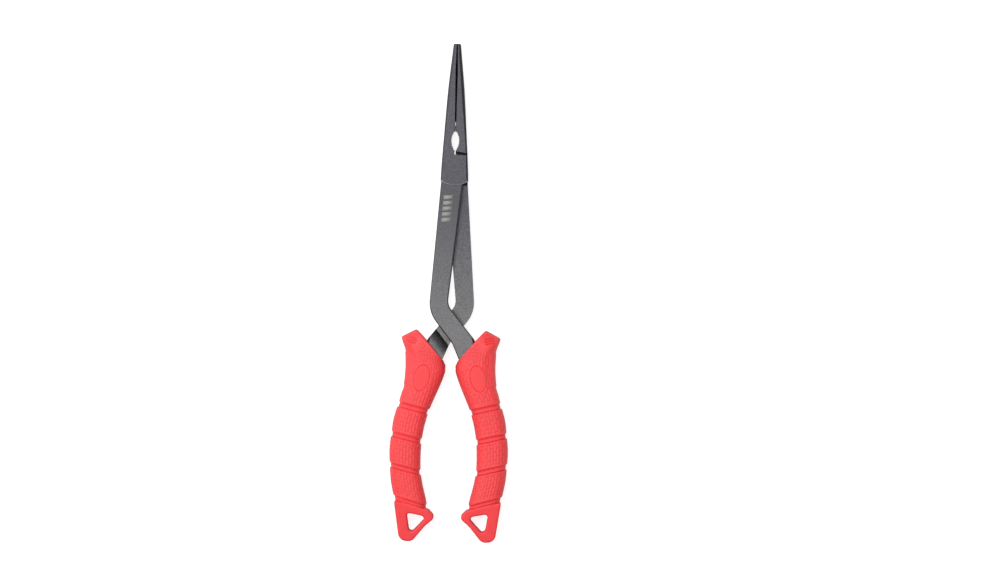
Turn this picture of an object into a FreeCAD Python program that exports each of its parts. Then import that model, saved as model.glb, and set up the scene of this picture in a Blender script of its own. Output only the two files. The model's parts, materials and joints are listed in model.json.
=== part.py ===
"""Long-reach needle-nose fishing pliers with dual-moulded grips, as separate solids.

The tool lies on its side on a table: +Y runs to the jaw tips, +X to the right and +Z up through the
thickness. Two forged halves, alike but for their meshing teeth, lap at a flush rivet. Each has a jaw
and a half-thickness arm that bows outwards and crosses the other arm before it becomes a full-thickness
shank and a tang. Over each tang sit a hard moulded core, with ribs between its pads and a lanyard eye,
and four soft pads.

Everything is drawn about the pivot, with the tool's middle plane at z = 0. The last step moves it so
that the origin is the middle of the footprint on the table.
"""
import math
import os

import FreeCAD, Part

# ---- driving dimensions, in mm, from the pivot's axis and the middle plane ----
TIP_Y = 74.5
HANDLE_END_Y = -217.5
PIVOT_TO_ORIGIN = -(TIP_Y + HANDLE_END_Y) / 2

HEAD_HALF_THICK = 5.5
ARM_HALF_THICK = 5.0
LAP_GAP = 0.05              # half of the gap between the two lapped layers
EDGE_ROUND = 0.8

# head blank: distance along the tool, half width, half thickness, corner radius
HEAD_SECTIONS = [
    (TIP_Y, 2.15, 2.3, 1.25),
    (64.0, 3.2, 2.95, 1.7),
    (50.0, 4.6, 3.8, 1.9),
    (36.0, 5.65, 4.65, 1.7),
    (24.0, 6.4, 5.2, 1.2),
    (10.0, 7.3, HEAD_HALF_THICK, 0.75),
    (-11.0, 8.15, HEAD_HALF_THICK, 0.75),
]
BOSS_END_Y = -8.6            # lowest point of the arc that ends the thick head
BOSS_CORNER_X, BOSS_CORNER_Y = 8.2, -6.0
BOSS_EDGE_ROUND = 0.4
TIP_ROUND = 0.6

# clearance slot between a jaw's shoulder and the other half's boss: heights at x = 0 and slopes
SHOULDER_Y, SHOULDER_SLOPE = 11.45, 0.148
LAP_TOP_Y, LAP_TOP_SLOPE = 9.55, 0.078

# gripping faces and the serrated opening between them
JAW_GAP_TIP, JAW_GAP_HEEL = 0.03, 0.12
LAP_SLIT = 0.35             # half width of the slit from the almond opening down to the lap
SIGHT_GAP = ((26.3, 28.8), 0.22)
TOOTH_PITCH, TOOTH_DEPTH = 1.25, 0.3
TEETH_FROM_Y, TEETH_TO_Y = 29.0, TIP_Y - 1.0
ALMOND_TOOTH_PITCH, ALMOND_TOOTH_DEPTH = 1.25, 0.6
EYE_TOP_Y, EYE_WIDE_Y, EYE_LOW_Y, EYE_HALF_WIDTH = 23.2, 17.9, 12.0, 2.1
# chamfer along both edges of each gripping face: distance along the tool, half thickness there, width
VALLEY = [(TIP_Y + 0.2, 2.29, 0.3), (58.0, 3.32, 0.7), (40.0, 4.43, 0.5), (EYE_TOP_Y, 5.25, 0.4)]
VALLEY_OVERCUT = 1.0        # how far the chamfer's cut runs on above the surface

# flush rivet
RIVET_RADIUS, RIVET_HEAD_RADIUS, RIVET_HEAD_DEPTH = 3.0, 4.4, 1.4
RUNNING_CLEARANCE = 0.03

# arm outline: corner x, y and radius, from the head down the outside and back up the inside
ARM_CORNERS = [
    (-7.55, -4.0, 0),
    (-13.47, -82.95, 18),
    (0.7, -101.0, 14),
    (5.4, -112.0, 0),
    (9.0, -120.0, 0),
    (17.2, -116.0, 0),
    (14.2, -99.4, 7),
    (-2.44, -78.6, 8.5),
    (4.95, -8.0, 0),
    (5.3, -4.0, 0),
]
# the full-thickness shank starts at a shoulder that clears the other arm by this much, rises
# straight for a little and rounds over to the full thickness in a run
SHOULDER_CLEARANCE = 2.7
SHOULDER_RISE, SHOULDER_RUN = 1.2, 7.0
CROSSING_SLOPE_DEG = 51.7
CROSSING_LOW_POINT = (0.0, -100.0)
# steep bevel on the shank's outer edge, widening towards the grip, on both faces
BEVEL_FROM, BEVEL_TO, BEVEL_STEEPNESS_DEG = (11.0, -95.3), (13.0, -101.9), 70

# tang: centre line points and widths, and the holes that key the moulded core
TANG_LINE = [(11.0, -108.0, 11.0), (15.0, -123.0, 9.5), (20.6, -139.0, 9.0),
             (24.6, -156.0, 8.5), (25.4, -174.0, 8.0), (23.6, -188.0, 7.0)]
TANG_HALF_THICK = 2.5
KEY_HOLE_RADIUS = 1.6

# grip: each station is a line across the grip, from its inner edge to its outer edge
GRIP_HALF_THICK = 8.5
GRIP_CORNER = 5.5
GRIP_CROWN = 0.1            # drawn this much thicker, then trued flat on both faces
PAD_THICK = 2.2
HEAD_STATIONS = [
    ((4.5, -110.8), (20.1, -92.9)),
    ((2.9, -114.2), (29.2, -97.7)),
    ((3.0, -118.0), (26.7, -106.6)),
    ((4.6, -123.0), (26.3, -116.0)),
    ((7.5, -130.0), (27.0, -125.0)),
    ((11.6, -139.4), (29.5, -134.9)),
]
PAD_STATIONS = [
    [((12.9, -143.6), (30.9, -139.2)), ((14.7, -150.2), (33.0, -146.2)), ((15.8, -156.6), (33.6, -152.4))],
    [((16.2, -161.0), (34.2, -156.6)), ((16.45, -168.0), (34.9, -163.8)), ((16.4, -174.9), (34.6, -170.6))],
    [((15.9, -179.3), (34.3, -174.9)), ((14.4, -186.6), (33.7, -182.4)), ((12.0, -195.3), (32.1, -189.7))],
]
COLLAR_INSET = 1.2          # the core's surface in the grooves, below the pads
RIB_INSET = 0.55
RIB_SHARE = 0.3             # of the groove's width

# oval panel of the core, showing through the head pad on both faces
OVAL_CENTRE, OVAL_HALF_WIDTH, OVAL_HALF_LENGTH, OVAL_TILT_DEG = (16.6, -121.6), 4.6, 7.8, 14.0
OVAL_PROUD = 0.25

# lanyard eye: the station it starts at, and its outline corners and hole corners with their radii
EYE_STATION = ((12.0, -198.5), (31.4, -193.4))
EYE_CORNERS = [
    (31.5, -193.3, 1.1),
    (28.0, -217.3, 5.0),
    (20.4, -217.5, 4.5),
    (13.0, -208.3, 12.0),
    (6.8, -203.0, 2.6),
    (11.3, -198.5, 1.1),
]
EYE_HOLE_CORNERS = [(24.0, -200.5, 1.6), (21.9, -213.2, 1.7), (12.1, -202.8, 1.7)]
# both faces of the eye slope evenly towards its end: distance along the tool and half thickness
EYE_TAPER = ((-190.0, 8.4), (-220.0, 4.8))
EYE_EDGE_ROUND = 1.0
COLLAR_INTO_EYE = 1.5       # the last collar runs on into the eye, to this many times the groove's width

Vec = FreeCAD.Vector
FAR = 200.0


# ---- drawing helpers ----
def rounded_face(corners, z=0.0):
    """A flat face whose outline has straight runs and a tangent arc at each corner with a radius."""
    points = [Vec(x, y, z) for x, y, _ in corners]
    radii = [r for _, _, r in corners]
    count = len(points)
    starts, ends, middles = [], [], []
    for i, corner in enumerate(points):
        back = (points[i - 1] - corner).normalize()
        ahead = (points[(i + 1) % count] - corner).normalize()
        if radii[i] == 0:
            starts.append(corner)
            ends.append(corner)
            middles.append(None)
            continue
        half_angle = back.getAngle(ahead) / 2
        run = radii[i] / math.tan(half_angle)
        inward = (back + ahead).normalize()
        starts.append(corner + back * run)
        ends.append(corner + ahead * run)
        middles.append(corner + inward * (radii[i] / math.sin(half_angle) - radii[i]))
    edges = []
    for i in range(count):
        if middles[i] is not None:
            edges.append(Part.Arc(starts[i], middles[i], ends[i]).toShape())
        following = starts[(i + 1) % count]
        if ends[i].distanceToPoint(following) > 1e-6:
            edges.append(Part.LineSegment(ends[i], following).toShape())
    return Part.Face(Part.Wire(edges))


def polygon_prism(points, low, high):
    """A straight prism on a polygon in the plan, from one height to another."""
    corners = [Vec(x, y, low) for x, y in points]
    return Part.Face(Part.makePolygon(corners + corners[:1])).extrude(Vec(0, 0, high - low))


def edges_at_height(shape, z):
    """The edges that lie wholly at one height."""
    found = []
    for edge in shape.Edges:
        box = edge.BoundBox
        if abs(box.ZMin - z) < 1e-4 and abs(box.ZMax - z) < 1e-4:
            found.append(edge)
    return found


def across(section, inset=0.0, half_thick=GRIP_HALF_THICK, corner=GRIP_CORNER):
    """A rounded rectangle that stands on a grip station, taken in by an inset on every side."""
    inner, outer = (Vec(x, y, 0) for x, y in section)
    along = (outer - inner).normalize()
    up = Vec(0, 0, 1)
    middle = (inner + outer) * 0.5
    half_width = inner.distanceToPoint(outer) / 2 - inset
    half_height = half_thick - inset
    radius = max(corner - inset, 1.0)

    def at(a, b):
        return middle + along * a + up * b

    edges = []
    corner_step = radius * (1 - math.sqrt(0.5))
    signs = [(1, 1), (-1, 1), (-1, -1), (1, -1)]
    for i, (a, b) in enumerate(signs):
        side = at(a * half_width, b * (half_height - radius))
        top = at(a * (half_width - radius), b * half_height)
        bend = at(a * (half_width - corner_step), b * (half_height - corner_step))
        first, last = (side, top) if a * b > 0 else (top, side)
        edges.append(Part.Arc(first, bend, last).toShape())
        next_a, next_b = signs[(i + 1) % 4]
        next_side = at(next_a * half_width, next_b * (half_height - radius))
        next_top = at(next_a * (half_width - radius), next_b * half_height)
        following = next_side if next_a * next_b > 0 else next_top
        edges.append(Part.LineSegment(last, following).toShape())
    return Part.Wire(edges)


def between(first, second, share):
    """The station that lies a share of the way from one station to another."""
    return tuple(
        tuple(p + (q - p) * share for p, q in zip(a, b)) for a, b in zip(first, second)
    )


def grip_loft(stations, inset=0.0):
    """A solid through the grip's cross-sections at some stations, taken in by an inset."""
    return Part.makeLoft([across(s, inset) for s in stations], True, True)


# ---- forged halves ----
def head_section(y, half_width, half_thick, corner):
    """The rounded rectangle of the head blank at one distance along the tool."""
    return across(((-half_width, y), (half_width, y)), 0.0, half_thick, corner)


def head_blank():
    """Both jaws and the boss as one tapered bar, before the halves are parted."""
    bar = Part.makeLoft([head_section(*s) for s in HEAD_SECTIONS], True, False)
    left, right = Vec(-BOSS_CORNER_X, BOSS_CORNER_Y, -FAR), Vec(BOSS_CORNER_X, BOSS_CORNER_Y, -FAR)
    low = Part.Arc(left, Vec(0, BOSS_END_Y, -FAR), right)
    around = [right, Vec(FAR, BOSS_CORNER_Y, -FAR), Vec(FAR, FAR, -FAR), Vec(-FAR, FAR, -FAR),
              Vec(-FAR, BOSS_CORNER_Y, -FAR), left]
    edges = [low.toShape()] + [Part.LineSegment(a, b).toShape() for a, b in zip(around, around[1:])]
    blank = bar.common(Part.Face(Part.Wire(edges)).extrude(Vec(0, 0, 2 * FAR)))
    arcs = [e for e in blank.Edges if e.BoundBox.YMax < BOSS_CORNER_Y + 1 and e.BoundBox.XLength > 5]
    tips = [e for e in blank.Edges if e.BoundBox.YMin > TIP_Y - 1e-3]
    return blank.makeFillet(BOSS_EDGE_ROUND, arcs).makeFillet(TIP_ROUND, tips)


def tooth_line(lead):
    """The saw-toothed line of a gripping face. A lead of 1 or -1 picks one of the two faces that mesh."""
    count = round((TEETH_TO_Y - TEETH_FROM_Y) / TOOTH_PITCH * 2)
    points = []
    for i in range(count + 1):
        y = TEETH_TO_Y + (TEETH_FROM_Y - TEETH_TO_Y) * i / count
        rise = 0.0 if i in (0, count) else TOOTH_DEPTH / 2 * (-1) ** i
        points.append((-JAW_GAP_TIP + lead * rise, y))
    return points


def jaw_half(blank, lead):
    """The front half's share of the head: its jaw at full thickness and its boss in the front layer."""
    parting = [(-20, FAR), (-JAW_GAP_TIP, FAR)] + tooth_line(lead)
    parting += [(-JAW_GAP_HEEL, EYE_TOP_Y), (-LAP_SLIT, EYE_TOP_Y)]
    front = parting + [(-LAP_SLIT, LAP_TOP_Y), (20, LAP_TOP_Y - 20 * LAP_TOP_SLOPE), (20, -40), (-20, -40)]
    rear = parting + [(-LAP_SLIT, SHOULDER_Y), (-20, SHOULDER_Y - 20 * SHOULDER_SLOPE)]
    keep = polygon_prism(front, LAP_GAP, 20).fuse(polygon_prism(rear, -20, LAP_GAP))
    return blank.common(keep)


def sight_gap():
    """The short relief behind the last tooth, where light shows between the closed jaws."""
    (low, high), depth = SIGHT_GAP
    return polygon_prism([(1.0, low), (1.0, high), (-depth, high), (-depth, low)], -20, 20)


def eye_half_width(y):
    """The half width of the almond opening between the jaws, at the tips of its teeth."""
    reach = (EYE_TOP_Y if y > EYE_WIDE_Y else EYE_LOW_Y) - EYE_WIDE_Y
    share = (y - EYE_WIDE_Y) / reach
    return LAP_SLIT + (EYE_HALF_WIDTH - LAP_SLIT) * (1 - share ** 2)


def almond_opening():
    """The toothed almond that is cut from a jaw, with its straight side on the tool's centre line."""
    points = [(1.0, EYE_TOP_Y), (-LAP_SLIT, EYE_TOP_Y)]
    count = round((EYE_TOP_Y - EYE_LOW_Y) / ALMOND_TOOTH_PITCH)
    step = (EYE_TOP_Y - EYE_LOW_Y) / count
    for i in range(count):
        y = EYE_TOP_Y - (i + 0.5) * step
        points.append((-eye_half_width(y) - ALMOND_TOOTH_DEPTH, y))
        y -= step / 2
        points.append((-eye_half_width(y), y))
    points.append((1.0, EYE_LOW_Y))
    return polygon_prism(points, -20, 20)


def edge_valley(side):
    """The chamfer along the front or rear edge of a gripping face, deeper in the middle of the jaw."""
    wires = []
    for y, height, width in VALLEY:
        left, top = -JAW_GAP_TIP - width - VALLEY_OVERCUT, height + VALLEY_OVERCUT
        corners = [Vec(left, y, side * top), Vec(1, y, side * top),
                   Vec(1, y, side * (height - width - 1)), Vec(-JAW_GAP_TIP, y, side * (height - width))]
        wires.append(Part.makePolygon(corners + corners[:1]))
    return Part.makeLoft(wires, True, True)


def crossing_direction():
    """The unit vector down the crossing part of the front half's arm."""
    angle = math.radians(CROSSING_SLOPE_DEG)
    return Vec(math.cos(angle), -math.sin(angle), 0)


def shank():
    """The full-thickness end of an arm, from the shoulder behind the crossing to inside the grip."""
    down = crossing_direction()
    along = Vec(-down.x, down.y, 0)                    # along the other half's lower edge
    outward = Vec(-along.y, along.x, 0)
    start = Vec(*CROSSING_LOW_POINT, 0) + outward * SHOULDER_CLEARANCE - along * 40
    # circle that meets the rear face flush at the end of its run
    fall = ARM_HALF_THICK - SHOULDER_RISE
    radius = (SHOULDER_RUN ** 2 + fall ** 2) / (2 * fall)
    sweep = math.asin(SHOULDER_RUN / radius) / 2

    def at(run, depth):
        return start + outward * run - Vec(0, 0, depth)

    low, high = at(0, SHOULDER_RISE), at(SHOULDER_RUN, ARM_HALF_THICK)
    middle = at(SHOULDER_RUN - radius * math.sin(sweep), ARM_HALF_THICK - radius * (1 - math.cos(sweep)))
    corners = [high, at(60, ARM_HALF_THICK), at(60, -LAP_GAP), at(0, -LAP_GAP), low]
    edges = [Part.Arc(low, middle, high).toShape()]
    edges += [Part.LineSegment(a, b).toShape() for a, b in zip(corners, corners[1:])]
    keep = Part.Face(Part.Wire(edges)).extrude(along * 80)
    outline = rounded_face(ARM_CORNERS, -2 * ARM_HALF_THICK).extrude(Vec(0, 0, 4 * ARM_HALF_THICK))
    return outline.common(keep)


def shank_bevel(side):
    """The steep wedge that is cut from the shank's outer edge on the front or the rear face."""
    height = side * (ARM_HALF_THICK + 0.5)
    start, end = Vec(*BEVEL_FROM, height), Vec(*BEVEL_TO, height)
    along = (end - start).normalize()
    outward = Vec(-along.y, along.x, 0)
    width = 8.0
    fall = Vec(0, 0, side * width * math.tan(math.radians(BEVEL_STEEPNESS_DEG)))
    corners = [start, start + outward * width, start + outward * width - fall]
    return Part.Face(Part.makePolygon(corners + corners[:1])).extrude(along * 14)


def tang():
    """The flat tongue inside the grip, keyed by round holes."""
    left = [(x - width / 2, y) for x, y, width in TANG_LINE]
    right = [(x + width / 2, y) for x, y, width in TANG_LINE]
    bar = polygon_prism(left + right[::-1], -TANG_HALF_THICK, TANG_HALF_THICK)
    for x, y, _ in TANG_LINE[2:5]:
        hole = Part.makeCylinder(KEY_HOLE_RADIUS, 20, Vec(x, y, -10))
        bar = bar.cut(hole)
    return bar


def rivet_profile(clearance):
    """The flush rivet, or with a clearance the seat it turns in."""
    body, head = RIVET_RADIUS + clearance, RIVET_HEAD_RADIUS + clearance
    low = HEAD_HALF_THICK - RIVET_HEAD_DEPTH
    top = HEAD_HALF_THICK + (1.0 if clearance else 0.0)
    outline = [(0, -top), (head, -top), (head, -HEAD_HALF_THICK), (body, -low), (body, low),
               (head, HEAD_HALF_THICK), (head, top), (0, top)]
    points = []
    for r, z in outline:
        point = Vec(r, 0, z)
        if not points or points[-1].distanceToPoint(point) > 1e-6:
            points.append(point)
    return Part.Face(Part.makePolygon(points + points[:1])).revolve(Vec(0, 0, 0), Vec(0, 0, 1), 360)


def forged_half(blank, seat, lead):
    """One half of the tool, as it lies in front: left jaw, left arm and right tang."""
    jaw = jaw_half(blank, lead)
    for tool in (sight_gap(), almond_opening(), edge_valley(1), edge_valley(-1)):
        jaw = jaw.cut(tool)
    strip = rounded_face(ARM_CORNERS, LAP_GAP).extrude(Vec(0, 0, ARM_HALF_THICK - LAP_GAP))
    strip = strip.makeFillet(EDGE_ROUND, edges_at_height(strip, ARM_HALF_THICK))
    arm = strip.fuse(shank()).cut(shank_bevel(1)).cut(shank_bevel(-1))
    return jaw.fuse([arm, tang()]).removeSplitter().cut(seat)


# ---- moulded grip ----
def oval_prism(low, high, grow=0.0):
    """An upright prism on the tilted oval of the grip's head."""
    ellipse = Part.Ellipse(Vec(0, 0, 0), OVAL_HALF_LENGTH + grow, OVAL_HALF_WIDTH + grow).toShape()
    face = Part.Face(Part.Wire([ellipse]))
    face.rotate(Vec(0, 0, 0), Vec(0, 0, 1), 90 + OVAL_TILT_DEG)
    face.translate(Vec(*OVAL_CENTRE, low))
    return face.extrude(Vec(0, 0, high - low))


def eye_half_thick(y):
    """The half thickness of the lanyard eye at one distance along the tool."""
    (near_y, near), (far_y, far) = EYE_TAPER
    return near + (far - near) * (y - near_y) / (far_y - near_y)


def lanyard_eye():
    """The triangular loop at the end of the core, which thins evenly towards its end."""
    outline = rounded_face(EYE_CORNERS, -FAR).extrude(Vec(0, 0, 2 * FAR))
    hole = rounded_face(EYE_HOLE_CORNERS, -FAR).extrude(Vec(0, 0, 2 * FAR))
    (near_y, near), (far_y, far) = EYE_TAPER
    profile = [Vec(0, near_y, near), Vec(0, far_y, far), Vec(0, far_y, -far), Vec(0, near_y, -near)]
    wedge = Part.Face(Part.makePolygon(profile + profile[:1])).extrude(Vec(FAR, 0, 0))
    eye = outline.common(wedge).cut(hole)
    rims = []
    for edge in eye.Edges:
        points = edge.discretize(5)
        if all(abs(abs(p.z) - eye_half_thick(p.y)) < 1e-3 for p in points):
            rims.append(edge)
    return eye.makeFillet(EYE_EDGE_ROUND, rims)


def groove_lines():
    """The pairs of stations that bound each groove between the soft pads, the last one at the eye."""
    pads = PAD_STATIONS
    return [(HEAD_STATIONS[-1], pads[0][0]), (pads[0][-1], pads[1][0]), (pads[1][-1], pads[2][0]),
            (pads[2][-1], EYE_STATION)]


def handle_core(metal):
    """The hard inner moulding: spine under the pads, a collar and rib in each groove, oval panels, eye."""
    spine_stations = [between(HEAD_STATIONS[0], HEAD_STATIONS[1], 0.5)] + HEAD_STATIONS[1:]
    for pad in PAD_STATIONS:
        spine_stations += pad
    spine = grip_loft(spine_stations, PAD_THICK)
    solids = [spine, lanyard_eye()]
    for first, second in groove_lines():
        reach = COLLAR_INTO_EYE if second is EYE_STATION else 1.0
        solids.append(grip_loft([first, between(first, second, reach)], COLLAR_INSET))
        rib_from, rib_to = 0.5 - RIB_SHARE / 2, 0.5 + RIB_SHARE / 2
        rib = [between(first, second, rib_from), between(first, second, rib_to)]
        solids.append(grip_loft(rib, RIB_INSET))
    proud = GRIP_HALF_THICK - OVAL_PROUD
    solids.append(oval_prism(-proud, proud))
    core = solids[0].fuse(solids[1:]).removeSplitter()
    return core.cut(metal)


def soft_pad(stations, core, metal):
    """One overmoulded pad with true flat faces, hollow for the core and the metal inside it."""
    drawn = grip_loft(stations, -GRIP_CROWN)
    flat = Part.makeBox(FAR, 2 * FAR, 2 * GRIP_HALF_THICK, Vec(-FAR / 2, -2 * FAR, -GRIP_HALF_THICK))
    return drawn.common(flat).cut(core).cut(metal)


def head_pad(core, metal):
    """The flared pad at the front of the grip, with a window on each face for the oval panel."""
    return soft_pad(HEAD_STATIONS, core, metal).cut(oval_prism(-20, 20))


# ---- assembly ----
def turned(shape):
    """The same shape for the rear half: half a turn about the tool's long axis."""
    other = shape.copy()
    other.rotate(Vec(0, 0, 0), Vec(0, 1, 0), 180)
    return other


def write(name, shape):
    """Moves one piece into the row frame and writes it as its own STEP."""
    placed = shape.copy()
    placed.translate(Vec(0, PIVOT_TO_ORIGIN, GRIP_HALF_THICK))
    solids = placed.Solids
    if not placed.isValid():
        raise RuntimeError(f"{name} is not a valid shape")
    whole = solids[0] if len(solids) == 1 else Part.makeCompound(solids)
    whole.exportStep(f"parts/{name}.step")
    print(f"{name}: {len(solids)} solid(s), {placed.Volume:.0f} mm3")


def main():
    os.makedirs("parts", exist_ok=True)
    blank = head_blank()
    front = forged_half(blank, rivet_profile(1e-9), 1)
    rear = turned(forged_half(blank, rivet_profile(RUNNING_CLEARANCE), -1))
    write("front_half", front)
    write("rear_half", rear)
    write("pivot_rivet", rivet_profile(0.0))

    core = handle_core(front)
    grips = {"handle_core": core, "head_pad": head_pad(core, front)}
    for i, name in enumerate(("upper_pad", "middle_pad", "lower_pad")):
        grips[name] = soft_pad(PAD_STATIONS[i], core, front)
    for name, shape in grips.items():
        write(f"front_{name}", shape)
        write(f"rear_{name}", turned(shape))


main()
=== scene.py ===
"""Looks for long-reach fishing pliers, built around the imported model.

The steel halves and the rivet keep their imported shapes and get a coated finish. Each handle is built
again as it is moulded: hard collars with ribs, oval panels and a lanyard eye, then soft pads with raised
cells over them. The rear handle is the front one turned half a turn about the tool's long axis.
"""
import json
import math

import bmesh
import bpy
import numpy as np
from bpy.props import FloatProperty, FloatVectorProperty, PointerProperty
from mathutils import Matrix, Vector


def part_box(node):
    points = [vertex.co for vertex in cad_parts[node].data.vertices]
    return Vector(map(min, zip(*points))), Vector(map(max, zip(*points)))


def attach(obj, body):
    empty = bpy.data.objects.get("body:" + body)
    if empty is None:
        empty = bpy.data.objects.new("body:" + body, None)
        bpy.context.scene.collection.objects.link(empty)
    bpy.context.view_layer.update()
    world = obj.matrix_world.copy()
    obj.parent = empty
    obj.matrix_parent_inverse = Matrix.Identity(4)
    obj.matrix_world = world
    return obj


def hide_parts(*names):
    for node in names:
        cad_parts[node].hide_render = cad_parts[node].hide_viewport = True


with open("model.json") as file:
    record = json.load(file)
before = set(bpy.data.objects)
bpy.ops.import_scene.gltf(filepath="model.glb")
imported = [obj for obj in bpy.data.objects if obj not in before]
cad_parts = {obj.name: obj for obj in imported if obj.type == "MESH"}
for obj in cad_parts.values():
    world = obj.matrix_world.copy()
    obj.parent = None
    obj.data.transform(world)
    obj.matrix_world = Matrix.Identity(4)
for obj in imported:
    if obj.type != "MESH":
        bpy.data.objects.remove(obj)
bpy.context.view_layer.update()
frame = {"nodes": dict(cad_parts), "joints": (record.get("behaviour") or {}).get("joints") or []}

bl_info = {
    "name": "Fishing Pliers",
    "version": (1, 0, 0),
    "blender": (4, 5, 0),
    "location": "3D View > Sidebar > Pliers",
    "description": "Coats the steel and moulds the grips of long-reach fishing pliers",
    "category": "Object",
}

MM = 0.001
PIVOT = Vector(frame["joints"][0]["pos_m"])
SIDES = ("front", "rear")
PAD_LOW, PAD_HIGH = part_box("front_middle_pad")
GRIP_HALF_THICK = (PAD_HIGH.z - PAD_LOW.z) / 2

# Plan points are in mm from the pivot and half sizes in mm; every other length is in metres.

# Lines across the front handle's grip, from its inner edge to its outer edge.
HEAD_LINES = [
    ((4.5, -110.8), (20.1, -92.9)),
    ((2.9, -114.2), (29.2, -97.7)),
    ((3.0, -118.0), (26.7, -106.6)),
    ((4.6, -123.0), (26.3, -116.0)),
    ((7.5, -130.0), (27.0, -125.0)),
    ((11.6, -139.4), (29.5, -134.9)),
]
EAR_TIP, EAR_END, BODY_START, SADDLE_END = 1, 2, 3, 4       # which of the head's lines these fall on
FINGER_LINES = {
    "upper": [
        ((12.9, -143.6), (30.9, -139.2)),
        ((14.7, -150.2), (33.0, -146.2)),
        ((15.8, -156.6), (33.6, -152.4)),
    ],
    "middle": [
        ((16.2, -161.0), (34.2, -156.6)),
        ((16.45, -168.0), (34.9, -163.8)),
        ((16.4, -174.9), (34.6, -170.6)),
    ],
    "lower": [
        ((15.9, -179.3), (34.3, -174.9)),
        ((14.4, -186.6), (33.7, -182.4)),
        ((12.0, -195.3), (32.1, -189.7)),
    ],
}
LINES_PER_PAD = 3
EYE_LINE = ((12.0, -198.5), (31.4, -193.4))
RUN_ON_LINE = ((11.2, -201.4), (30.9, -196.3))      # inside the eye
GRIP_LINES = HEAD_LINES + sum(FINGER_LINES.values(), []) + [EYE_LINE, RUN_ON_LINE]

# Grip surface. A pair of values is where a slope or a fade starts and ends.
SECTION_POWER = 3.1             # superellipse power of the grip's cross-section
SECTION_HALF_WIDTH = 9.5 * MM   # a usual half width, for spacing the points round it
SECTION_SAMPLES, LENGTH_SAMPLES = 4001, 900
NORMAL_REACH = 0.15 * MM        # how far along the grip a normal looks
EAR_SOFTNESS = 0.4 * MM         # how far the corners of the flared head are blended
BODY_SOFTNESS = 2.6 * MM
FACE_FADE = (0.45, 0.7)         # height, as a share, where details of the two faces set in

# Soft pads.
PAD_LEAD = 0.45 * MM            # how far a soft pad starts ahead of its first line
PAD_TRAIL = 1.1 * MM            # and how far it runs on past its last one
HEAD_RIM = 1.0 * MM             # roll round the front of the head pad
RIM_ROWS = 6                    # rows of points round each roll
PAD_INNER_ROWS, CUP_ROWS = 8, 12
CUP_FLOOR = 6.0 * MM            # how far behind its front face the head pad turns hollow
FRONT_FACE_SHARES = (0.15, 0.45, 0.75, 0.92, 0.98)

# Collars.
COLLAR_COUNT = len(FINGER_LINES) + 1
COLLAR_LAP = 0.7 * MM           # how far a collar runs on under the pads beside it
COLLAR_STEP = 0.6               # spacing of its rows, as a share of the pads'
RIB_AFTER_PAD, RIB_BEFORE_PAD = 0.5 * MM, 0.45 * MM
RIB_WALL = (-0.2 * MM, 0.1 * MM)
RIB_FADE = (0.45, 0.9)

# Raised cells.
CELL_GAP, CELL_CORNER = 0.42 * MM, 0.6 * MM
CELL_WALL = (-0.28 * MM, 0.12 * MM)
HEAD_CELLS_OFF_RIM = (1.2 * MM, 2.4 * MM)
HEAD_CELLS_OFF_OVAL = (0.9 * MM, 1.5 * MM)
HEAD_CELLS_OFF_EAR = (12.5 * MM, 14.0 * MM)
FINGER_CELLS_OFF_RIM = (0.5 * MM, 1.2 * MM)
FINGER_CELLS_REAR_CLEAR = 0.9 * MM
SHORT_CELL_ROWS = 2             # how many full cells' length at the front holds half-length cells

# The saddle is a raised panel down the outer side of the head, with lower ground beside it.
SADDLE_LEAD, SADDLE_TRAIL = 0.3 * MM, 0.8 * MM
SADDLE_STEP = 0.35 * MM
SADDLE_WIDTH = (0.8 * MM, 4.6 * MM)
SADDLE_DROP = 0.4 * MM
DROP_AHEAD, DROP_BEHIND = (-5.0 * MM, -1.0 * MM), (0.5 * MM, 6.0 * MM)
DROP_WIDTH = (4.0 * MM, 9.0 * MM)

# Oval panels.
OVAL_CENTRE, OVAL_HALF_SIZE, OVAL_TILT = (16.6, -121.6), (4.6, 7.8), math.radians(14.0)
OVAL_POINTS, OVAL_ROLL_ROWS = 120, 5
OVAL_PROUD, OVAL_RIM, OVAL_WALL = -0.02 * MM, 0.4 * MM, 1.6 * MM
OVAL_INSETS = np.linspace(0.8, 4.3, 9) * MM
OVAL_RECESS, OVAL_RECESS_WALL = 0.4 * MM, (0.02 * MM, 0.4 * MM)

# Plain bars pressed into the flared ears.
EAR_BARS_CENTRE, EAR_BARS_TILT = (22.9, -99.4), math.radians(9.0)
EAR_BAR_HALF_LENGTHS, EAR_BAR_PITCH = (2.2, 2.9, 2.4), 1.5 * MM
EAR_BAR_WALL, EAR_BAR_DEPTH = (0.2 * MM, 0.55 * MM), 0.5 * MM
EAR_BAR_SHADE = 2.0             # how much deeper than the cells' grooves they are painted

# Lanyard eyes.
EYE_ROOT_LAP = 0.02 * MM        # how far ahead of its line the eye is cut from the core
EYE_WELD = 0.002 * MM
EYE_SMOOTHING, EYE_SMOOTH_PASSES = 0.5, 14

# Etched bars on the front arm.
ARM_FACE = 5.0 * MM             # height of the arm's face over the lap
ARM_RUN = Vector((-0.074, -0.9973, 0.0))
ETCH_START, ETCH_COUNT, ETCH_PITCH = (-6.0, -14.6), 5, 3.3 * MM
ETCH_WIDTH, ETCH_LENGTH, ETCH_SLANT = 5.5 * MM, 2.4 * MM, -0.9 * MM
ETCH_HEIGHTS = (-0.05 * MM, 0.015 * MM)     # sunk into the arm, and just proud of it

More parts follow.
